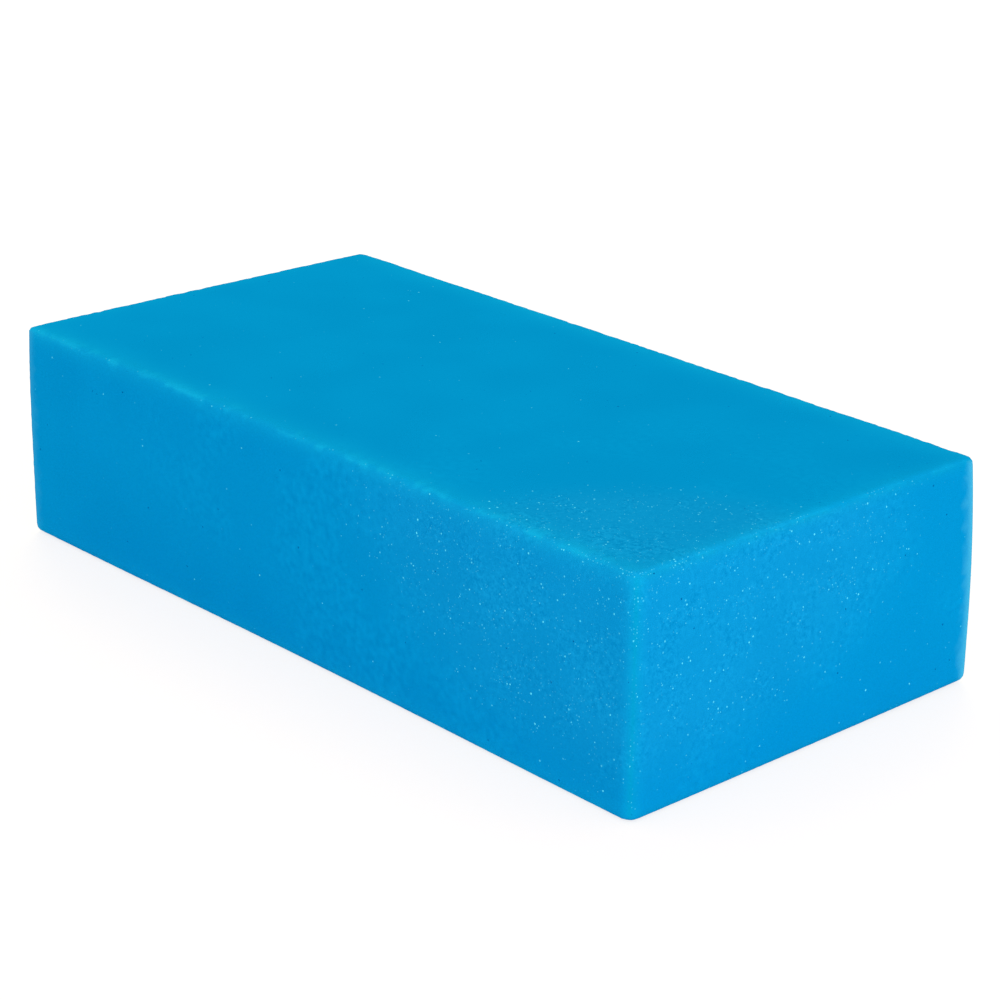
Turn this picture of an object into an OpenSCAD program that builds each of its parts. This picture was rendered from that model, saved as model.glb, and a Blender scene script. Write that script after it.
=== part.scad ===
// Grooming sponge: one block of fine-pored foam with softly rounded edges.
//
// The block lies flat with its length along X, its width along Y and its base on Z = 0.
// It is lofted as a stack of rounded rectangles that runs up the bottom edge, the sides and
// the top edge and then closes over the top. Every point of that plain block is then moved
// by one rule, soft(), which gives the foam its leaning, bellied and crowned faces.

/* [Block] */
// Overall length, measured at half height
length = 200; // [150:1:240]
// Overall width, measured at the two ends
width = 99.5; // [75:0.5:130]
// Overall thickness, measured at the middle of the top
thickness = 50.5; // [35:0.5:70]

/* [Edges] */
// Radius of the four upright edges
corner_r = 2.8; // [1:0.1:8]
// Radius of the edge that runs round the top
top_edge_r = 1.8; // [1:0.1:7]
// Radius of the edge that runs round the base
base_edge_r = 2.2; // [1:0.1:7]

/* [Soft faces] */
// How far the sides lean in by the time they reach the top
top_lean = 0.8; // [0:0.05:3]
// Height of the upper band of the sides that leans in
lean_height = 20; // [5:0.5:30]
// How far the long sides are drawn in at the base, halfway along
base_waist = 0.75; // [0:0.05:3]
// Height of the lower band of the long sides that is drawn in
waist_height = 24; // [5:0.5:30]
// How far the corners of each end lie back from its bulging middle
end_belly = 0.2; // [0:0.05:3]
// How far the corners of the top lie below its crowned middle
top_crown = 0.3; // [0:0.05:3]

/* [Smoothness] */
// Facets across each rounded edge
edge_steps = 6; // [3:1:9]
// Facets along a long side
long_steps = 24; // [8:2:32]
// Facets across an end
end_steps = 12; // [6:2:16]
// Facets up a side between its rounded edges
side_steps = 10; // [4:2:12]
// Facets from the edge of the top to its middle
top_steps = 8; // [4:1:10]

/* [Hidden] */

half_length = length / 2;
half_width = width / 2;
foam_blue = [0.02, 0.59, 0.82];

// An inward offset of the outline never gets a corner sharper than this
tip_r = 0.2;

// A quarter circle about a centre, from start degrees on
function corner_arc(centre, r, start) =
    [for (i = [0:edge_steps]) let (a = start + 90 * i / edge_steps) centre + r * [cos(a), sin(a)]];

// The points strictly between two ends of a straight run
function between(from, to, steps) =
    [for (i = [1:steps - 1]) from + (to - from) * i / steps];

// The block's rounded outline, seen from above, set in from the walls by inset
function outline(inset) =
    let (
        hx = half_length - inset,
        hy = half_width - inset,
        r = max(corner_r - inset, tip_r),
        cx = hx - r,
        cy = hy - r
    )
    concat(
        corner_arc([cx, cy], r, 0),
        between([cx, hy], [-cx, hy], long_steps),
        corner_arc([-cx, cy], r, 90),
        between([-hx, cy], [-hx, -cy], end_steps),
        corner_arc([-cx, -cy], r, 180),
        between([-cx, -hy], [cx, -hy], long_steps),
        corner_arc([cx, -cy], r, 270),
        between([hx, -cy], [hx, cy], end_steps)
    );

// One level of the plain block: its outline at an inset, shrunk towards the middle, at height z
function level(inset, z, shrink = 1) =
    [for (p = outline(inset)) [p.x * shrink, p.y * shrink, z]];

// The levels of the plain block, in order from the rim of the flat base to the middle of the top
function base_edge_levels() =
    [for (i = [0:edge_steps - 1])
        let (a = 90 * i / edge_steps)
        level(base_edge_r * (1 - sin(a)), base_edge_r * (1 - cos(a)))];

function side_levels() =
    [for (i = [0:side_steps])
        level(0, base_edge_r + (thickness - top_edge_r - base_edge_r) * i / side_steps)];

function top_edge_levels() =
    [for (i = [1:edge_steps])
        let (a = 90 * i / edge_steps)
        level(top_edge_r * (1 - cos(a)), thickness - top_edge_r * (1 - sin(a)))];

function top_levels() =
    [for (i = [1:top_steps - 1])
        level(top_edge_r, thickness, 1 - i / top_steps)];

// 0 below a band's start, rising smoothly to 1 at its full height
function ramp(distance, height) = pow(max(0, min(1, distance / height)), 2);

// Where a point of the plain block lies once the foam has taken its soft shape
function soft(p) =
    let (
        along = p.x / half_length,
        across = p.y / half_width,
        up = p.z / thickness,
        lean = top_lean * ramp(p.z - (thickness - lean_height), lean_height),
        waist = base_waist * ramp(waist_height - p.z, waist_height) * pow(cos(90 * along), 2),
        belly = end_belly * (pow(across, 2) + pow(2 * up - 1, 2)) / 2,
        crown = top_crown * (pow(along, 2) + pow(across, 2)) / 2 * up
    )
    [
        p.x - along * (lean + belly),
        p.y - across * (lean + waist),
        p.z - crown
    ];

// The four-sided faces between neighbouring levels of a stack
function skin_faces(levels, points) =
    [for (k = [0:levels - 2], i = [0:points - 1])
        let (j = (i + 1) % points)
        [k * points + i, (k + 1) * points + i, (k + 1) * points + j, k * points + j]];

// The foam block, whose base is left flat to rest on
module sponge() {
    levels = concat(base_edge_levels(), side_levels(), top_edge_levels(), top_levels());
    points = len(levels[0]);
    last = (len(levels) - 1) * points;
    middle = len(levels) * points;
    skin = concat([for (ring = levels, p = ring) soft(p)], [soft([0, 0, thickness])]);
    base = [for (i = [0:points - 1]) i];
    closing = [for (i = [0:points - 1]) [last + i, middle, last + (i + 1) % points]];
    color(foam_blue)
        polyhedron(skin, concat([base], skin_faces(len(levels), points), closing), convexity = 2);
}

sponge();
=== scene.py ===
"""Grooming sponge: one block of fine-celled blue foam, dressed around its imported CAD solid.

The block is built as six Delaunay sheets, one for each side of its box. Each is strewn with small open
pores and with flecks of shiny cell skin, and all six are bent over the same rounded, slightly soft box and
welded along its edges. Lengths are in metres, in the part's own frame: X along the length, Y across the
width, Z up from the base.
"""

import math
from collections import namedtuple

import bpy
import numpy as np
from mathutils import Matrix, Vector
from mathutils.geometry import delaunay_2d_cdt


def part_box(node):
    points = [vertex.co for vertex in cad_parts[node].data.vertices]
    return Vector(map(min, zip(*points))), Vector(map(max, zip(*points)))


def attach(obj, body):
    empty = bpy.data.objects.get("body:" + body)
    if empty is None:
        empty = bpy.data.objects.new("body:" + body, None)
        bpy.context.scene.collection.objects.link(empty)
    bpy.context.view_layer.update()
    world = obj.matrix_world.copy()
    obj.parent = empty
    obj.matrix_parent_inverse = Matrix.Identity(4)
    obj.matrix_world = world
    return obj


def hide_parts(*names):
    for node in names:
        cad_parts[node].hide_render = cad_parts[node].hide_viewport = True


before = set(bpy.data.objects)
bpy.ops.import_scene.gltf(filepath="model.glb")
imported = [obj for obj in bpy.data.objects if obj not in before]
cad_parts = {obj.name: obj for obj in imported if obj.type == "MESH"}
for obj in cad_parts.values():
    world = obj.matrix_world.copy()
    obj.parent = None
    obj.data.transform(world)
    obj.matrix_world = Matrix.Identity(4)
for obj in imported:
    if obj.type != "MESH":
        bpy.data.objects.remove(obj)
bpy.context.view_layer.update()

MM = 0.001
X, Y, Z = 0, 1, 2
SEED = 20261

# --- The block's form --------------------------------------------------------------------------------

box_low, box_high = (np.array(corner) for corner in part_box("sponge"))
centre = (box_low + box_high) / 2
half = (box_high - box_low) / 2
nearest = np.array([box_high[X], box_low[Y], box_high[Z]])  # the top's nearest corner in the photo

# Four values are for the four corners, seen from above, in this order: left front, left back, right
# front, right back. The part's source softens the block by much the same rule, with all corners alike.
CORNER_R = (2.0 * MM, 2.8 * MM, 3.0 * MM, 1.8 * MM)  # radii of the upright edges
TOP_EDGE_R = (1.2 * MM, 1.8 * MM, 1.7 * MM, 1.5 * MM)  # of the edge that runs round the top
BASE_EDGE_R = (2.2 * MM, 2.2 * MM, 1.8 * MM, 2.4 * MM)  # of the edge that runs round the base

LEAN_ALONG = (0.4 * MM, 1.2 * MM, 0.8 * MM, 1.05 * MM)  # how far the top has leaned in along X
LEAN_ACROSS = (0.25 * MM, -0.6 * MM, 0.8 * MM, 1.05 * MM)  # and along Y, or out where below 0
LEAN_HEIGHT = (20 * MM, 20 * MM, 20 * MM, 36 * MM)  # height of the upper band that leans
DRAWN_IN = (0.1 * MM, 0.0, 0.0, 0.1 * MM)  # how far a corner is drawn in over its whole height
TOP_CROWN = (0.1 * MM, 0.15 * MM, 0.3 * MM, 0.35 * MM)  # how far it lies below the top's middle

BASE_WAIST = 0.75 * MM  # how far the long sides are drawn in at the base, halfway along
WAIST_HEIGHT = 24 * MM  # height of the lower band that is drawn in
END_BELLY = 0.2 * MM  # how far the corners of each end lie back from its bulging middle

RIPPLE_DEPTH = 0.07 * MM  # half the height of the slow unevenness that the cutting blade left
RIPPLE_LENGTHS = (61 * MM, 37 * MM, 23 * MM)  # lengths of its waves
CRUMB = 0.03 * MM  # how far points of the rounded edges, where cut cells stand up, lie in or out
CRUMB_FROM = 0.7  # how strong the painted edge highlight is where the foam begins to be crumbly

# --- The sheets that cover it ------------------------------------------------------------------------

# a and b are the axes across a sheet, n the one that it faces, and side which end of that. near and far
# are the strengths of its fine mottling at the bright corner and away from it, and a high fade makes it
# thin out sooner. flecks is the share of flecks kept for that strength, and soft the strength of the
# softer mottling, which reaches further.
Sheet = namedtuple("Sheet", "name a b n side near far fade flecks soft")
SHEETS = (
    Sheet("top", X, Y, Z, 1, near=1.6, far=0.02, fade=1.75, flecks=1.0, soft=0.4),
    Sheet("base", X, Y, Z, -1, near=0.3, far=0.3, fade=1.0, flecks=1.0, soft=0.6),
    Sheet("front", X, Z, Y, -1, near=1.0, far=0.02, fade=1.0, flecks=1.0, soft=1.0),
    Sheet("back", X, Z, Y, 1, near=0.3, far=0.3, fade=1.0, flecks=1.0, soft=0.6),
    Sheet("right_end", Y, Z, X, 1, near=1.0, far=0.12, fade=1.0, flecks=0.88, soft=1.0),
    Sheet("left_end", Y, Z, X, -1, near=0.3, far=0.3, fade=1.0, flecks=1.0, soft=0.6),
)

BORDER_STEP = 1.0 * MM  # spacing of points along the box's edges
FILL_STEP = 2.0 * MM  # spacing of points on the open faces
RIM_FILL_STEP = 0.9 * MM  # closer spacing on the rounded edges
RIM_BAND = 3.0 * MM  # width of that band on each sheet
BORDER_CLEAR = 0.6 * RIM_FILL_STEP  # least distance of the filling points from the box's edges
FILL_STRAY = 0.7  # over what part of a step they stray from their grid
SAME_PLACE = 1e-7  # distance in millimetres within which the triangulation merges points
WELD_DIGITS = 4  # decimals of a millimetre to which the points of two sheets agree on their edge
NET_GAP = 2 * MM  # gap between the sheets on the block's flat net

# --- Pores and flecks --------------------------------------------------------------------------------

SPOT_GAP = 0.2 * MM  # least foam between two pores or flecks
FILL_CLEAR = 1.5 * SPOT_GAP  # least distance of the filling points from their rims
SPOT_CELL = 1.0 * MM  # side of the squares in which near neighbours are looked up
SPOT_ROUGHNESS = 0.2  # how far a rim strays from a circle

# how many spots are drawn for a square millimetre, their least and largest radius, and a bias that makes
# small ones outnumber large ones where it is above 1
Spots = namedtuple("Spots", "per_mm2 radii bias")
PORES = Spots(0.007, (0.10 * MM, 0.27 * MM), 3.0)
FLECKS = Spots(0.20, (0.08 * MM, 0.23 * MM), 1.8)
BEADS = Spots(4.0, (0.10 * MM, 0.21 * MM), 1.5)  # flecks strung along the edges of the sheets in view

PORE_DEPTH = 1.4  # depth of a pore, in radii
WIDE_PORE = 0.17 * MM  # a pore wider than this gets a floor ring of its own
WIDE_SIDES = 8
SIDES = 6
FLOOR_RING = 0.72  # radius of the floor ring, against the rim
FLOOR_RING_DEPTH = 0.75  # depth of the floor ring, against the middle of the floor

FLECK_RISE = 0.3  # height of a fleck, in radii
FLECK_SIDES = 5
FLECK_GLEAM = (0.25, 1.0)  # how brightly the painted glints of the dullest and the brightest flecks shine
GLEAM_BIAS = 1.5  # above 1, dull ones outnumber bright ones
TWINS = 0.35  # share of flecks that lie close by another
TWIN_REACH = (0.35 * MM, 0.80 * MM)  # how far from it

BEAD_BAND = 0.7 * MM  # how far in from an edge beads lie
BEAD_RUNS = (31 * MM, 11 * MM)  # lengths over which they come and go
BEAD_SHARE = (0.2, 1.0)  # share of them far from the bright corner, and close to it

# --- How the foam's looks change over it -------------------------------------------------------------

BRIGHT_CORNER = nearest - [0, 0.25 * MM, 5.5 * MM]  # the place round which most skins stayed on the cut
BRIGHT_FULL = 55 * MM  # distance from it within which they are densest
BRIGHT_END = 95 * MM  # distance at which they have thinned out
BRIGHT_SINK = 2.0  # how much faster they thin out downwards

# The numbers that each point carries for its material: how strong the fine mottling is, how strong the
# painted highlight near the edges is, 1 where that shows the bluer of two tones, how strong the painted
# shade of an upright edge is, how strong the soft mottling is, and how strong the painted rim light is.
LOOKS = ("crisp", "edge", "long", "upright", "soft", "pale")
SOFT_LOSS = 0.7  # share of the soft mottling that gives way to the fine mottling
SOFT_FADE = 0.5  # how fast the soft mottling thins out, against the fine one

# how far in from the edges along X and along Y the foam gets a painted highlight, and how strongly
EDGE_GLOW = (12.0 * MM, 8.0 * MM)  # on the top and the base
SIDE_GLOW = (6.5 * MM, 4.0 * MM)  # on the sides
EDGE_WEIGHTS = (1.0, 0.87)
TIP = nearest - [0, 0.25 * MM, 0.5 * MM]  # the place round which the sides get the painted highlight as well
TIP_REACH = 8.0 * MM  # how far from it
TIP_WEIGHT = 0.9

UPRIGHT_REACH = 4.0 * MM  # how far in from an upright edge the foam gets painted shade
UPRIGHT_WEIGHTS = (0.0, 0.4, 1.0, 0.0)  # how strong that painted shade is, at the four corners
PALE_FROM = 3.8 * MM  # distance from an upright edge at which a painted rim light begins
PALE_FULL = 1.0 * MM  # within this the painted rim light is strongest, and below the top it sets in over as much
PALE_STEEP = 5.0  # how much faster it fades on the side of an upright edge that the photo doesn't show
PALE_WEIGHTS = (0.4, 0.0, 0.0, 0.85)  # how strong the painted rim light is, at the four corners


def smooth(share):
    """A share from 0 to 1, eased at both ends."""
    return share * share * (3 - 2 * share)


def bright(points, fade):
    """1 near the bright corner, falling smoothly to 0, for points about the block's centre."""
    distance = np.linalg.norm((points + centre - BRIGHT_CORNER) * [1, 1, BRIGHT_SINK], axis=1) * fade
    return smooth(np.clip((BRIGHT_END - distance) / (BRIGHT_END - BRIGHT_FULL), 0, 1))


def at_corners(values, points):
    """The value of the corner in whose quarter of the block each point lies."""
    return np.array(values)[2 * (points[:, X] > 0) + (points[:, Y] > 0)]


def between_corners(values, points):
    """The values of the four corners, spread evenly between them."""
    left_front, left_back, right_front, right_back = values
    right, back = np.clip((points[:, :2] / half[:2] + 1) / 2, 0, 1).T
    left = left_front * (1 - back) + left_back * back
    return left * (1 - right) + (right_front * (1 - back) + right_back * back) * right


# --- Strewing a sheet with spots ---------------------------------------------------------------------


def on_box(places, kind):
    """Places (a, b) on a sheet as points on the sharp box, about its centre."""
    flat = np.empty((len(places), 3))
    flat[:, kind.a], flat[:, kind.b] = places[:, 0], places[:, 1]
    flat[:, kind.n] = kind.side * half[kind.n]
    return flat


def in_view(kind):
    """Whether the photo shows this side of the block, where its mottling thins out from near to far."""
    return kind.near > kind.far


def edge_distances(flat):
    """How far points on the sharp box lie from the nearest of its edges along X, along Y and along Z."""
    inset = half - abs(flat)
    return np.stack([np.delete(inset, axis, axis=1).max(axis=1) for axis in (X, Y, Z)], 1)


def crispness(flat, kind):
    """How strong the fine mottling is at points of a sheet."""
    return np.maximum(kind.far, kind.near * bright(flat, kind.fade))


def bead_share(flat):
    """Which part of the beads is kept at points of a sheet: in runs along its edges."""
    low, high = BEAD_SHARE
    along = abs(flat + centre - nearest).sum(axis=1)
    runs = sum(np.sin(along * 2 * math.pi / length) for length in BEAD_RUNS)
    close = edge_distances(flat).min(axis=1) < BEAD_BAND
    return close * np.clip(runs, 0, 1) * (low + (high - low) * bright(flat, 1))


def clear_of(a, b, distance, taken):
    """Whether a place is further than a distance from the rims of all spots in taken."""
    i, j = int(a // SPOT_CELL), int(b // SPOT_CELL)
    near = [spot for di in (-1, 0, 1) for dj in (-1, 0, 1) for spot in taken.get((i + di, j + dj), ())]
    return all(math.hypot(a - spot_a, b - spot_b) > distance + radius for spot_a, spot_b, radius in near)


def scatter(rng, reach, spots, taken, share=None, twins=0.0):
    """Places and radii of spots that touch none in taken, as rows (a, b, radius), largest first. reach is
    how far the sheet goes to each side of its middle, share tells which part of the spots at given places
    is kept, and twins is the part that lies close by another. The spots are added to taken, which holds
    all those of the sheet by the square that they lie in."""
    count = int(spots.per_mm2 * (2 * reach[0] / MM) * (2 * reach[1] / MM))
    small, large = spots.radii
    sizes = np.sort(small + (large - small) * rng.random(count) ** spots.bias)[::-1]
    limit = reach - (large * (1 + SPOT_ROUGHNESS) + SPOT_GAP)
    places = (rng.random((count, 2)) * 2 - 1) * limit
    twin = rng.random(count) < twins
    angle = rng.random(count) * 2 * math.pi
    away = rng.uniform(*TWIN_REACH, count)
    beside = places[rng.permutation(count)] + np.stack([np.cos(angle) * away, np.sin(angle) * away], 1)
    places[twin] = np.clip(beside[twin], -limit, limit)
    kept = rng.random(count) < (1 if share is None else share(places))
    found = []
    for (a, b), radius in zip(places[kept], sizes[kept]):
        if clear_of(a, b, radius + SPOT_GAP, taken):
            taken.setdefault((int(a // SPOT_CELL), int(b // SPOT_CELL)), []).append((a, b, radius))
            found.append((a, b, radius))
    return found


def strew(rng, kind, reach):
    """The pores and the flecks of a sheet, and both by the square that they lie in."""

    def flecks_kept(places):
        """Which part of the flecks is kept at places on this sheet."""
        return kind.flecks * crispness(on_box(places, kind), kind)

    def beads_kept(places):
        """Which part of the beads is kept at places on this sheet."""
        return bead_share(on_box(places, kind))

    taken = {}
    pores = scatter(rng, reach, PORES, taken)
    flecks = scatter(rng, reach, FLECKS, taken, flecks_kept, TWINS)
    if in_view(kind):
        flecks += scatter(rng, reach, BEADS, taken, beads_kept)
    return pores, flecks, taken


def rim(rng, radius, sides):
    """The uneven rim of a spot about its middle, as rows (a, b)."""
    reach = radius * (1 + SPOT_ROUGHNESS * (rng.random(sides) * 2 - 1))
    angles = 2 * math.pi * (rng.random() + np.arange(sides) / sides)
    return np.stack([np.cos(angles) * reach, np.sin(angles) * reach], 1)


def pore_points(rng, pores):
    """Rows (a, b, depth, hollow, gleam) for the rim, floor ring and floor middle of every pore."""
    rows = []
    for a, b, radius in pores:
        wide = radius > WIDE_PORE
        depth = radius * PORE_DEPTH
        edge = rim(rng, radius, WIDE_SIDES if wide else SIDES)
        rows += [(a + da, b + db, 0, 0, 0) for da, db in edge]
        if wide:
            ring = edge * FLOOR_RING
            ring_depth = depth * FLOOR_RING_DEPTH
            rows += [(a + da, b + db, ring_depth, FLOOR_RING_DEPTH, 0) for da, db in ring]
        rows.append((a, b, depth, 1, 0))
    return np.array(rows).reshape(-1, 5)


def fleck_points(rng, flecks, rise):
    """Rows (a, b, depth, hollow, gleam) for the rim and the raised middle of every fleck."""
    dull, shiny = FLECK_GLEAM
    rows = []
    for a, b, radius in flecks:
        rows += [(a + da, b + db, 0, 0, 0) for da, db in rim(rng, radius, FLECK_SIDES)]
        gleam = dull + (shiny - dull) * rng.random() ** GLEAM_BIAS
        rows.append((a, b, -radius * rise, 0, gleam))
    return np.array(rows).reshape(-1, 5)


def border_points(reach):
    """Evenly spaced points round a sheet's border. Both sheets that share an edge get the same ones."""
    half_a, half_b = reach
    steps_a, steps_b = (round(2 * extent / BORDER_STEP) for extent in reach)
    run_a, run_b = np.linspace(-half_a, half_a, steps_a + 1), np.linspace(-half_b, half_b, steps_b + 1)
    across = [(a, b) for a in run_a for b in (-half_b, half_b)]
    along = [(a, b) for b in run_b[1:-1] for a in (-half_a, half_a)]
    return np.array(across + along)


def fill_points(rng, reach, taken):
    """Points that cover a sheet between its spots, closer together near its border."""
    rows = []
    for step, low, high in ((RIM_FILL_STEP, BORDER_CLEAR, RIM_BAND), (FILL_STEP, RIM_BAND, math.inf)):
        count_a, count_b = (int(2 * extent / step) for extent in reach)
        a, b = np.meshgrid(np.arange(count_a) + 0.5, np.arange(count_b) + 0.5)
        places = np.stack([a.ravel() / count_a * 2 - 1, b.ravel() / count_b * 2 - 1], 1) * reach
        places += (rng.random(places.shape) - 0.5) * step * FILL_STRAY
        inset = (reach - abs(places)).min(axis=1)
        rows.append(places[(inset > low) & (inset <= high)])
    places = np.concatenate(rows)
    return places[[clear_of(a, b, FILL_CLEAR, taken) for a, b in places]]


# --- What the material reads at each point -----------------------------------------------------------


def softness(flat, kind, crisp):
    """How strong the soft mottling is at points of a sheet."""
    thinned = bright(flat, SOFT_FADE * kind.fade) if in_view(kind) else 1
    return kind.soft * (1 - SOFT_LOSS * np.minimum(crisp, 1)) * thinned


def edge_looks(flat, kind):
    """How strong the painted highlight is at points of a sheet close to an edge along X or Y, 1 or 0 for
    whether they take the bluer of its two tones, and how strong the painted shade of an upright edge is."""
    distances = edge_distances(flat)
    glow = EDGE_GLOW if kind.n == Z else SIDE_GLOW
    near = EDGE_WEIGHTS * np.clip(1 - distances[:, :2] / glow, 0, 1)
    # strength of the painted highlight near the edges
    edge_highlight = near.max(axis=1)
    if kind.n == Z:
        return edge_highlight, np.ones(len(flat)), np.zeros(len(flat))
    tip = np.clip(1 - np.linalg.norm(flat + centre - TIP, axis=1) / TIP_REACH, 0, 1)
    bluer = (near.argmax(axis=1) == X).astype(float)
    # painted shade near the upright edges
    upright_shade = np.clip(1 - distances[:, Z] / UPRIGHT_REACH, 0, 1) * at_corners(UPRIGHT_WEIGHTS, flat)
    return np.maximum(edge_highlight, TIP_WEIGHT * tip), bluer, upright_shade


def painted_rim_light(flat):
    """How strong the painted rim light is at points on the sharp box, for lying close to an upright edge.
    """
    inset = half[:2] - abs(flat[:, :2])
    distance = np.where(flat[:, X] > 0, inset @ [PALE_STEEP, 1], inset @ [1, PALE_STEEP])
    share = np.clip((PALE_FROM - distance) / (PALE_FROM - PALE_FULL), 0, 1)
    below = np.clip((half[Z] - flat[:, Z]) / PALE_FULL, 0, 1)
    return at_corners(PALE_WEIGHTS, flat) * below * smooth(share)


# --- The block as one mesh ---------------------------------------------------------------------------


def lay_sheet(rng, kind):
    """One side of the block before it is bent: its points on the sharp box, rows (a, b, depth, hollow,
    gleam) and the looks of each point, in the order of LOOKS, and the triangles between them."""
    reach = half[[kind.a, kind.b]]
    pores, flecks, taken = strew(rng, kind, reach)
    plain = np.concatenate([border_points(reach), fill_points(rng, reach, taken)])
    plain = np.concatenate([plain, np.zeros((len(plain), 3))], 1)
    rise = 0 if kind.name == "base" else FLECK_RISE
    rows = np.concatenate([plain, pore_points(rng, pores), fleck_points(rng, flecks, rise)])
    places = [Vector(row[:2] / MM) for row in rows]
    _, _, triangles, sources, _, _ = delaunay_2d_cdt(places, [], [], 0, SAME_PLACE)
    rows = rows[[source[0] for source in sources]]
    triangles = np.array(triangles)
    if np.cross(np.eye(3)[kind.a], np.eye(3)[kind.b])[kind.n] * kind.side < 0:
        triangles = triangles[:, ::-1]  # so that they face out of the block
    flat = on_box(rows, kind)
    crisp = crispness(flat, kind)
    looks = [crisp, *edge_looks(flat, kind), softness(flat, kind, crisp), painted_rim_light(flat)]
    return flat, rows, np.stack(looks, 1), triangles


def round_off(flat):
    """Points on the sharp box, about its centre, moved onto the rounded one, with their normals."""
    # in plan, each square ring round a corner becomes a round one
    corner_r = at_corners(CORNER_R, flat)[:, None]
    beyond = np.clip(abs(flat[:, :2]) - (half[:2] - corner_r), 0, None)
    inset = np.min(half[:2] - abs(flat[:, :2]), axis=1)
    reach = np.linalg.norm(beyond, axis=1)
    in_corner = (beyond > 0).all(axis=1)
    nearer_x = half[X] - abs(flat[:, X]) < half[Y] - abs(flat[:, Y])
    outward = np.where(nearer_x[:, None], [[1.0, 0.0]], [[0.0, 1.0]])
    outward[in_corner] = beyond[in_corner] / reach[in_corner, None]
    plan = abs(flat[:, :2])
    ring = corner_r[in_corner] - inset[in_corner, None]
    plan[in_corner] = half[:2] - corner_r[in_corner] + outward[in_corner] * ring

    # in profile, the outline runs round the top and base edges
    up = flat[:, Z] > 0
    radius = np.where(up, between_corners(TOP_EDGE_R, flat), between_corners(BASE_EDGE_R, flat))
    drop = half[Z] - abs(flat[:, Z])
    out, rise = np.clip(radius - inset, 0, None), np.clip(radius - drop, 0, None)
    length = np.hypot(out, rise)
    rounded = length > 0
    length[~rounded] = 1
    out, rise = out / length, rise / length
    out[~rounded], rise[~rounded] = 1, 0
    shift = np.where(rounded, inset - np.maximum(inset, radius) + radius * out, 0)
    height = np.where(rounded, half[Z] - np.maximum(drop, radius) + radius * rise, abs(flat[:, Z]))
    plan = plan + outward * shift[:, None]

    sign = np.where(flat < 0, -1.0, 1.0)
    surface = np.concatenate([plan, height[:, None]], 1) * sign
    normal = np.concatenate([outward * out[:, None], rise[:, None]], 1) * sign
    return surface, normal


def ramp(distance, height):
    """0 below a band's start, rising smoothly to 1 at its full height."""
    return np.clip(distance / height, 0, 1) ** 2


def soften(points):
    """Where points of the plain rounded block lie once the foam has taken its soft shape."""
    x, y, z = points.T
    along, across = x / half[X], y / half[Y]
    height = z + half[Z]
    up = height / (2 * half[Z])
    tall = between_corners(LEAN_HEIGHT, points)
    lean = ramp(height - (2 * half[Z] - tall), tall)
    lean_x, lean_y = (lean * between_corners(leans, points) for leans in (LEAN_ALONG, LEAN_ACROSS))
    waist = BASE_WAIST * ramp(WAIST_HEIGHT - height, WAIST_HEIGHT) * np.cos(math.pi / 2 * along) ** 2
    belly = END_BELLY * (across**2 + (2 * up - 1) ** 2) / 2
    crown = between_corners(TOP_CROWN, points) * (along**2 + across**2) / 2 * up
    drawn = between_corners(DRAWN_IN, points)
    soft_x = x - along * (lean_x + belly + drawn)
    soft_y = y - across * (lean_y + waist + drawn)
    return np.stack([soft_x, soft_y, z - crown], 1)


def ripple(rng, points):
    """A slow unevenness between -1 and 1."""
    total = np.zeros(len(points))
    for length in RIPPLE_LENGTHS:
        direction = rng.normal(size=3)
        direction /= np.linalg.norm(direction)
        total += np.sin(points @ direction * 2 * math.pi / length + rng.random() * 2 * math.pi)
    return total / len(RIPPLE_LENGTHS)


def net_places():
    """Where each sheet's middle lies on the flat net of the block, whether it is turned there, and the
    net's side, for its UV map."""
    length, width, height = 2 * half
    rows = {"top": width, "base": width, "front": height, "back": height}
    places = {}
    side = NET_GAP
    for name, tall in rows.items():
        places[name] = (NET_GAP + length / 2, side + tall / 2, False)
        side += tall + NET_GAP
    rise = NET_GAP
    for name in ("right_end", "left_end"):
        places[name] = (2 * NET_GAP + length + height / 2, rise + width / 2, True)
        rise += width + NET_GAP
    return places, side


def join_sheets(rng):
    """The six sheets side by side: their points on the sharp box, each point's depth, hollow and gleam,
    its looks by name and its place on the net, and the triangles between them."""
    middles, net_side = net_places()
    flats, spots, looks, nets, triangles = [], [], [], [], []
    first = 0
    for kind in SHEETS:
        flat, rows, look, faces = lay_sheet(rng, kind)
        middle_u, middle_v, turned = middles[kind.name]
        across = rows[:, 1::-1] if turned else rows[:, :2]
        flats.append(flat)
        spots.append(rows[:, 2:])
        looks.append(look)
        nets.append((across + [middle_u, middle_v]) / net_side)
        triangles.append(faces + first)
        first += len(flat)
    flat, net, triangles = map(np.concatenate, (flats, nets, triangles))
    looks = dict(zip(LOOKS, np.concatenate(looks).T))
    return flat, np.concatenate(spots).T, looks, net, triangles


def shape_points(rng, flat, depth, edge_highlight, weld):
    """Where points of the sharp box lie on the finished block, with those of pores sunk to their depth.
    weld numbers the points, and those that are to be one have the same number."""
    surface, normal = round_off(flat)
    uneven = RIPPLE_DEPTH * (ripple(rng, surface) - 1)
    crumb = CRUMB * (rng.random(weld.max() + 1) * 2 - 1)[weld] * (edge_highlight > CRUMB_FROM)
    # both set in over the rounded edge of the base, so that the base stays flat
    lift = np.clip((flat[:, Z] + half[Z]) / between_corners(BASE_EDGE_R, flat), 0, 1)
    return soften(surface) + normal * ((uneven + crumb) * lift - depth)[:, None] + centre


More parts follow.
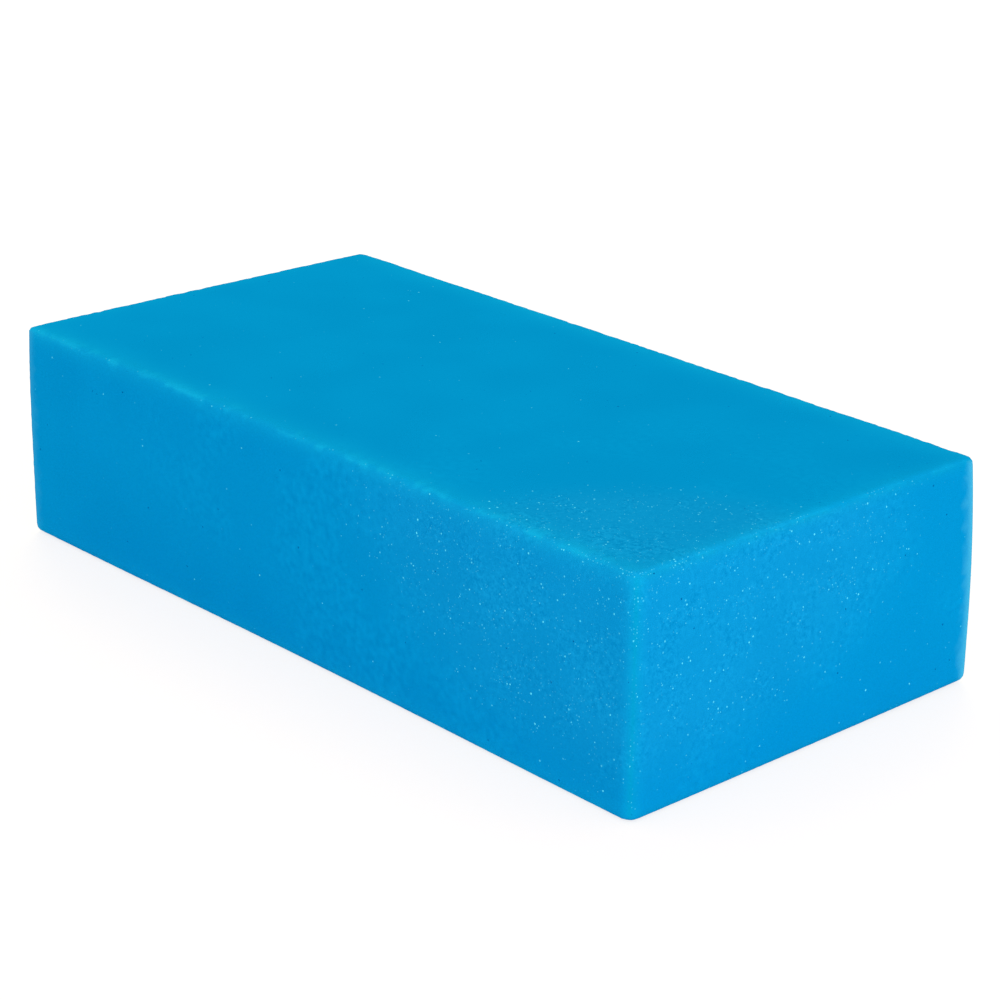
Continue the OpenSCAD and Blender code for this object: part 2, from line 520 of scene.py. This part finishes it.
def build_block():
    """The foam block as one welded mesh, with its spots, its shading attributes and its UV net."""
    rng = np.random.default_rng(SEED)
    flat, (depth, hollow, gleam), looks, net, triangles = join_sheets(rng)
    keys = np.round(flat / MM, WELD_DIGITS)
    _, place, weld = np.unique(keys, axis=0, return_index=True, return_inverse=True)
    weld = weld.reshape(-1)
    points = shape_points(rng, flat, depth, looks["edge"], weld)

    mesh = bpy.data.meshes.new("sponge_foam")
    mesh.from_pydata(points[place].tolist(), [], weld[triangles].tolist())
    face_gleam = gleam[triangles].max(axis=1)
    in_spot = (hollow[triangles] > 0).any(axis=1) | (face_gleam > 0)
    mesh.polygons.foreach_set("use_smooth", ~in_spot)
    uv = mesh.uv_layers.new(name="OFBake")
    uv.data.foreach_set("uv", net[triangles].reshape(-1))
    for name, values in looks.items():
        add_attribute(mesh, name, "POINT", values[place])
    add_attribute(mesh, "hollow", "POINT", hollow[place])
    add_attribute(mesh, "gleam", "FACE", face_gleam)
    mark_rims(mesh, in_spot)
    mesh.update()
    return bpy.data.objects.new("sponge_foam", mesh)


def mark_rims(mesh, in_spot):
    """Makes the rim of every pore and fleck a crease, so that the foam round it stays smooth."""
    edges = np.empty(len(mesh.loops), dtype=np.int32)
    mesh.loops.foreach_get("edge_index", edges)
    edges = edges.reshape(-1, 3)
    inside, outside = np.unique(edges[in_spot]), np.unique(edges[~in_spot])
    sharp = np.zeros(len(mesh.edges), dtype=bool)
    sharp[np.intersect1d(inside, outside)] = True
    mesh.edges.foreach_set("use_edge_sharp", sharp)


def add_attribute(mesh, name, domain, values):
    """A number for each point or face of a mesh, which its material reads."""
    made = mesh.attributes.new(name, "FLOAT", domain)
    made.data.foreach_set("value", np.asarray(values, dtype=np.float32))


# --- The foam's material -----------------------------------------------------------------------------

DEEP_BLUE = (0.0, 0.262, 0.575, 1)  # the shaded hollows between cells
PALE_BLUE = (0.001, 0.332, 0.675, 1)  # the cut tops of cells
DEEP_DUST = (0.001, 0.258, 0.565, 1)  # the same two where fine skins are left, round the bright corner
PALE_DUST = (0.005, 0.340, 0.680, 1)
LONG_HIGHLIGHT_BLUE = (0.006, 0.47, 0.76, 1)  # painted highlight near the edges of the top, the base, the front and the back
END_HIGHLIGHT_BLUE = (0.006, 0.46, 0.56, 1)  # the same painted highlight on the ends, away from their upright edges
UPRIGHT_SHADE_BLUE = (0.0, 0.335, 0.50, 1)  # painted shade on the upright edges
RIM_LIGHT_BLUE = (0.073, 0.52, 0.78, 1)  # painted rim light on some of the upright edges
PORE_SHADE_BLUE = (0.0002, 0.18, 0.45, 1)  # painted shade on the floors of open pores
GLINT_BLUE = (0.12, 0.80, 0.97, 1)  # painted glints of shiny cell skins
ROUGHNESS = 0.95

# Every noise below varies about its middle, and a range holds two of its values and what they turn into.
NOISE_MIDDLE = 0.5

# fine mottling, of cells and grain, stronger in some clumps than between them
CELLS_PER_M = 2300
CELL_SHARE = 0.5  # how much the cells show, against the grain
GRAIN_PER_M = 950
FINE_MIDDLE = 0.75  # where the two together leave the tone as it is
FINE_LEAST = 0.05  # strength of the fine mottling where crisp is 0
FINE_GAIN = 1.05  # what it gains where crisp is 1
CLUMPS_PER_M = 110
CLUMP_RANGE = (0.4, 0.65, 0.3, 1.6)

# soft mottling, in swirls
SOFT_PER_M = 700
SOFT_DEPTH = 1.1
SWIRLS_PER_M = 45
SWIRL_RANGE = (0.44, 0.56, 0.1 * SOFT_DEPTH, SOFT_DEPTH)

# slow patches of a lighter and a darker tone
PATCHES_PER_M = 45
PATCH_RANGE = (0.3, 0.7, 0.4, 0.6)

# painted highlights along the edges: a wide one, and a narrow crest broken up into beads; and painted
# shade on the upright edges
EDGE_SHARE = 0.30
EDGE_POWER = 2.0
CREST_POWER = 6.0
BEADS_PER_M = 170
BEAD_RANGE = (0.45, 0.62, 0.2, 1.9)
UPRIGHT_SHARE = 0.5
UPRIGHT_POWER = 2.0

# painted glints of single cells, too small for the mesh
GLINTS_PER_M = 2400
GLINT_SHARE = 0.11  # share of cells that glint, where crisp is 1
GLINT_REACH = 0.30  # radius of a glint, in cell widths, from half of which on it fades
GLINT_STRENGTHS = (0.1, 0.4)  # of the dullest and the brightest

# relief of the cells, too fine for the mesh
GRAIN_RELIEF = 0.6  # height of the grain, against the cells
BUMP_STRENGTH = 0.35
BUMP_HEIGHT = 0.12 * MM


def new_node(tree, kind, inputs=None, **settings):
    """A node with its settings made, and its inputs set to values or linked to other nodes' outputs."""
    made = tree.nodes.new(kind)
    for name, value in settings.items():
        setattr(made, name, value)
    for name, value in (inputs or {}).items():
        feed(tree, made.inputs[name], value)
    return made


def feed(tree, socket, value):
    """Links an input to another node's output, or sets it to a value."""
    if isinstance(value, bpy.types.NodeSocket):
        tree.links.new(value, socket)
    else:
        socket.default_value = value


def calc(tree, operation, first, second=0.0, clamp=False):
    """The output of a math node."""
    inputs = {0: first, 1: second}
    return new_node(tree, "ShaderNodeMath", inputs, operation=operation, use_clamp=clamp).outputs[0]


def spread(tree, value, low, high, new_low=0.0, new_high=1.0):
    """value, carried smoothly from low..high to new_low..new_high, and held at the ends."""
    inputs = {"Value": value, "From Min": low, "From Max": high, "To Min": new_low, "To Max": new_high}
    return new_node(tree, "ShaderNodeMapRange", inputs, interpolation_type="SMOOTHSTEP").outputs["Result"]


def blend_colours(tree, share, first, second):
    """The first colour where share is 0 and the second where it is 1."""
    made = new_node(tree, "ShaderNodeMix", {"Factor": share}, data_type="RGBA")
    feed(tree, made.inputs[6], first)
    feed(tree, made.inputs[7], second)
    return made.outputs[2]


def noise(tree, place, scale, detail):
    """A noise between 0 and 1, mostly near its middle."""
    inputs = {"Vector": place, "Scale": scale, "Detail": detail}
    return new_node(tree, "ShaderNodeTexNoise", inputs).outputs["Fac"]


def attribute(tree, name):
    """A number that the mesh carries."""
    made = new_node(tree, "ShaderNodeAttribute", attribute_name=name, attribute_type="GEOMETRY")
    return made.outputs["Fac"]


def mottled_colour(tree, place, crisp, cells, grain):
    """The foam's own colour, with its fine and soft mottling and its slow patches."""
    clumps = spread(tree, noise(tree, place, CLUMPS_PER_M, detail=1.0), *CLUMP_RANGE)
    strength = calc(tree, "ADD", calc(tree, "MULTIPLY", crisp, FINE_GAIN), FINE_LEAST)
    fine = calc(tree, "ADD", calc(tree, "MULTIPLY", cells, CELL_SHARE), grain)
    fine = calc(tree, "SUBTRACT", fine, FINE_MIDDLE)
    fine = calc(tree, "MULTIPLY", fine, calc(tree, "MULTIPLY", strength, clumps))

    swirls = spread(tree, noise(tree, place, SWIRLS_PER_M, detail=1.0), *SWIRL_RANGE)
    soft = calc(tree, "SUBTRACT", noise(tree, place, SOFT_PER_M, detail=0.0), NOISE_MIDDLE)
    soft = calc(tree, "MULTIPLY", soft, calc(tree, "MULTIPLY", attribute(tree, "soft"), swirls))

    patches = spread(tree, noise(tree, place, PATCHES_PER_M, detail=1.0), *PATCH_RANGE)
    tone = calc(tree, "ADD", calc(tree, "ADD", fine, patches), soft, clamp=True)
    plain = blend_colours(tree, tone, DEEP_BLUE, PALE_BLUE)
    return blend_colours(tree, crisp, plain, blend_colours(tree, tone, DEEP_DUST, PALE_DUST))


def paint_edge_light(tree, place, colour):
    """A colour with the painted highlight along the edges, the painted shade of the upright edges and
    their painted rim light over it.
    """
    # painted highlight: a wide band near the edges and a beaded crest on them
    near = attribute(tree, "edge")
    beads = spread(tree, noise(tree, place, BEADS_PER_M, detail=3.0), *BEAD_RANGE)
    crest = calc(tree, "MULTIPLY", calc(tree, "POWER", near, CREST_POWER), beads)
    edge_highlight = calc(tree, "ADD", calc(tree, "POWER", near, EDGE_POWER), crest)
    edge_highlight = calc(tree, "MULTIPLY", edge_highlight, EDGE_SHARE)
    highlight_blue = blend_colours(tree, attribute(tree, "long"), END_HIGHLIGHT_BLUE, LONG_HIGHLIGHT_BLUE)
    # painted shade on the upright edges
    upright = calc(tree, "POWER", attribute(tree, "upright"), UPRIGHT_POWER)
    upright = calc(tree, "MULTIPLY", upright, UPRIGHT_SHARE)
    colour = blend_colours(tree, upright, colour, UPRIGHT_SHADE_BLUE)
    colour = blend_colours(tree, edge_highlight, colour, highlight_blue)
    # painted rim light on some upright edges
    return blend_colours(tree, attribute(tree, "pale"), colour, RIM_LIGHT_BLUE)


def shine(tree, place, crisp):
    """How strongly each place takes a painted glint, among the cells or on a fleck of the mesh."""
    skins = new_node(tree, "ShaderNodeTexVoronoi", {"Vector": place, "Scale": GLINTS_PER_M})
    chance = new_node(tree, "ShaderNodeSeparateColor", {"Color": skins.outputs["Color"]})
    chosen = calc(tree, "LESS_THAN", chance.outputs["Red"], calc(tree, "MULTIPLY", crisp, GLINT_SHARE))
    spot = spread(tree, skins.outputs["Distance"], GLINT_REACH, 0.5 * GLINT_REACH)
    strength = spread(tree, chance.outputs["Green"], 0.0, 1.0, *GLINT_STRENGTHS)
    glint = calc(tree, "MULTIPLY", calc(tree, "MULTIPLY", chosen, spot), strength)
    return calc(tree, "MAXIMUM", glint, attribute(tree, "gleam"))


def foam_material():
    """Matt blue foam, whose mottling, painted edge highlights and shade, painted rim light, painted shade
    in its pores and painted glints follow the numbers that its mesh carries.
    """
    material = bpy.data.materials.new("blue_foam")
    material.use_nodes = True
    tree = material.node_tree
    shader = tree.nodes["Principled BSDF"]
    place = new_node(tree, "ShaderNodeTexCoord").outputs["Object"]
    crisp = attribute(tree, "crisp")
    voronoi = new_node(tree, "ShaderNodeTexVoronoi", {"Vector": place, "Scale": CELLS_PER_M})
    cells = voronoi.outputs["Distance"]
    grain = noise(tree, place, GRAIN_PER_M, detail=1.0)

    colour = paint_edge_light(tree, place, mottled_colour(tree, place, crisp, cells, grain))
    # painted shade deep in the pores
    colour = blend_colours(tree, attribute(tree, "hollow"), colour, PORE_SHADE_BLUE)
    # painted glints of single cells and of the flecks
    colour = blend_colours(tree, shine(tree, place, crisp), colour, GLINT_BLUE)
    tree.links.new(colour, shader.inputs["Base Color"])

    relief = calc(tree, "ADD", cells, calc(tree, "MULTIPLY", grain, GRAIN_RELIEF))
    inputs = {"Height": relief, "Strength": BUMP_STRENGTH, "Distance": BUMP_HEIGHT}
    bump = new_node(tree, "ShaderNodeBump", inputs)
    tree.links.new(bump.outputs["Normal"], shader.inputs["Normal"])
    shader.inputs["Roughness"].default_value = ROUGHNESS
    shader.inputs["Specular IOR Level"].default_value = 0.0
    return material


# --- Floor, light and camera -------------------------------------------------------------------------

WHITE = (1, 1, 1, 1)
FLOOR_REACH = 4.0  # from its middle to each side, in metres
FLOOR_DROP = 0.05 * MM  # how far it lies below the base
FLOOR_SHADE = (0.35, 0.30, 0.27, 1)  # how much of its brightness is lit, and so keeps the shadow
FLOOR_EVEN = 0.76  # how much of it is the same all over
FLOOR_GREY = (0.85, 0.85, 0.85, 1)  # its colour in the light that it throws on the block
SKY = 0.725  # strength of the light from all round
SKY_COLOUR = (0.95, 0.98, 1.06, 1)

# name, place in metres, side in metres, watts and colour of each soft box
LAMPS = (
    ("near_box", (0.78, -0.73, 0.33), 0.5, 3.3, (0.98, 0.96, 0.98)),
    ("right_box", (1.08, -0.15, 0.28), 0.5, 2.15, (1, 0.98, 0.96)),
    ("back_box", (-0.58, 0.50, 0.67), 0.8, 3.9, (1, 0.99, 0.43)),
)
LAMP_AIM = (0, 0, 0.02)

# The photo's camera, fitted to the block's corners and edges. Angles are in degrees.
VIEW_AZIMUTH = 47.52
VIEW_ELEVATION = 20.79
VIEW_ROLL = 0.66
VIEW_DISTANCE = 617.3 * MM  # from the place that it looks at
VIEW_TARGET = (4.2 * MM, 4.1 * MM, 24.4 * MM)
LENS = 101.36  # millimetres
SENSOR_WIDTH = 36  # millimetres


def shows_white(tree):
    """1 for the rays that see the surroundings themselves, and 0 for those that light the block."""
    rays = new_node(tree, "ShaderNodeLightPath")
    seen = calc(tree, "ADD", rays.outputs["Is Camera Ray"], rays.outputs["Is Glossy Ray"], clamp=True)
    return calc(tree, "ADD", seen, rays.outputs["Is Transmission Ray"], clamp=True)


def floor_material():
    """A floor that is seen as nearly white, with the block's shadow on it, but lights it as plain grey."""
    material = bpy.data.materials.new("pale_floor")
    material.use_nodes = True
    tree = material.node_tree
    tree.nodes.remove(tree.nodes["Principled BSDF"])
    lit = new_node(tree, "ShaderNodeBsdfDiffuse", {"Color": FLOOR_SHADE}).outputs[0]
    even = new_node(tree, "ShaderNodeEmission", {"Color": WHITE, "Strength": FLOOR_EVEN}).outputs[0]
    seen = new_node(tree, "ShaderNodeAddShader", {0: lit, 1: even}).outputs[0]
    plain = new_node(tree, "ShaderNodeBsdfDiffuse", {"Color": FLOOR_GREY}).outputs[0]
    mixed = new_node(tree, "ShaderNodeMixShader", {0: shows_white(tree), 1: plain, 2: seen}).outputs[0]
    tree.links.new(mixed, tree.nodes["Material Output"].inputs["Surface"])
    return material


def add_floor():
    """The floor under the block, which is no part of it."""
    reach = FLOOR_REACH
    mesh = bpy.data.meshes.new("floor")
    corners = [(x * reach, y * reach, -FLOOR_DROP) for x, y in ((-1, -1), (1, -1), (1, 1), (-1, 1))]
    mesh.from_pydata(corners, [], [(0, 1, 2, 3)])
    floor = bpy.data.objects.new("floor", mesh)
    bpy.context.collection.objects.link(floor)
    floor.data.materials.append(floor_material())


def set_world():
    """Surroundings that are seen as white and light the block evenly."""
    world = bpy.data.worlds.new("studio")
    bpy.context.scene.world = world
    world.use_nodes = True
    tree = world.node_tree
    white = shows_white(tree)
    background = tree.nodes["Background"]
    tree.links.new(blend_colours(tree, white, SKY_COLOUR, WHITE), background.inputs["Color"])
    tree.links.new(spread(tree, white, 0.0, 1.0, SKY, 1.0), background.inputs["Strength"])


def add_lamp(name, place, size, watts, colour):
    """A square soft box at a place, turned towards the block."""
    data = bpy.data.lights.new(name, "AREA")
    data.shape = "SQUARE"
    data.size = size
    data.energy = watts
    data.color = colour
    lamp = bpy.data.objects.new(name, data)
    lamp.location = place
    lamp.rotation_euler = (Vector(LAMP_AIM) - Vector(place)).to_track_quat("-Z", "Y").to_euler()
    bpy.context.collection.objects.link(lamp)


def add_camera():
    """The photo's camera."""
    azimuth, elevation = math.radians(VIEW_AZIMUTH), math.radians(VIEW_ELEVATION)
    level = math.cos(elevation)
    back = Vector((math.sin(azimuth) * level, -math.cos(azimuth) * level, math.sin(elevation)))
    data = bpy.data.cameras.new("camera")
    data.lens = LENS
    data.sensor_width = SENSOR_WIDTH
    camera = bpy.data.objects.new("camera", data)
    place = Matrix.Translation(Vector(VIEW_TARGET) + back * VIEW_DISTANCE)
    turn = back.to_track_quat("Z", "Y").to_matrix().to_4x4()
    roll = Matrix.Rotation(math.radians(VIEW_ROLL), 4, "Z")
    camera.matrix_world = place @ (turn @ roll)
    bpy.context.collection.objects.link(camera)
    bpy.context.scene.camera = camera


# --- The scene ---------------------------------------------------------------------------------------

add_camera()
block = build_block()
bpy.context.collection.objects.link(block)
block.data.materials.append(foam_material())
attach(block, "root")
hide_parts("sponge")

add_floor()
set_world()
for lamp in LAMPS:
    add_lamp(*lamp)
bpy.context.scene.view_settings.view_transform = "Standard"
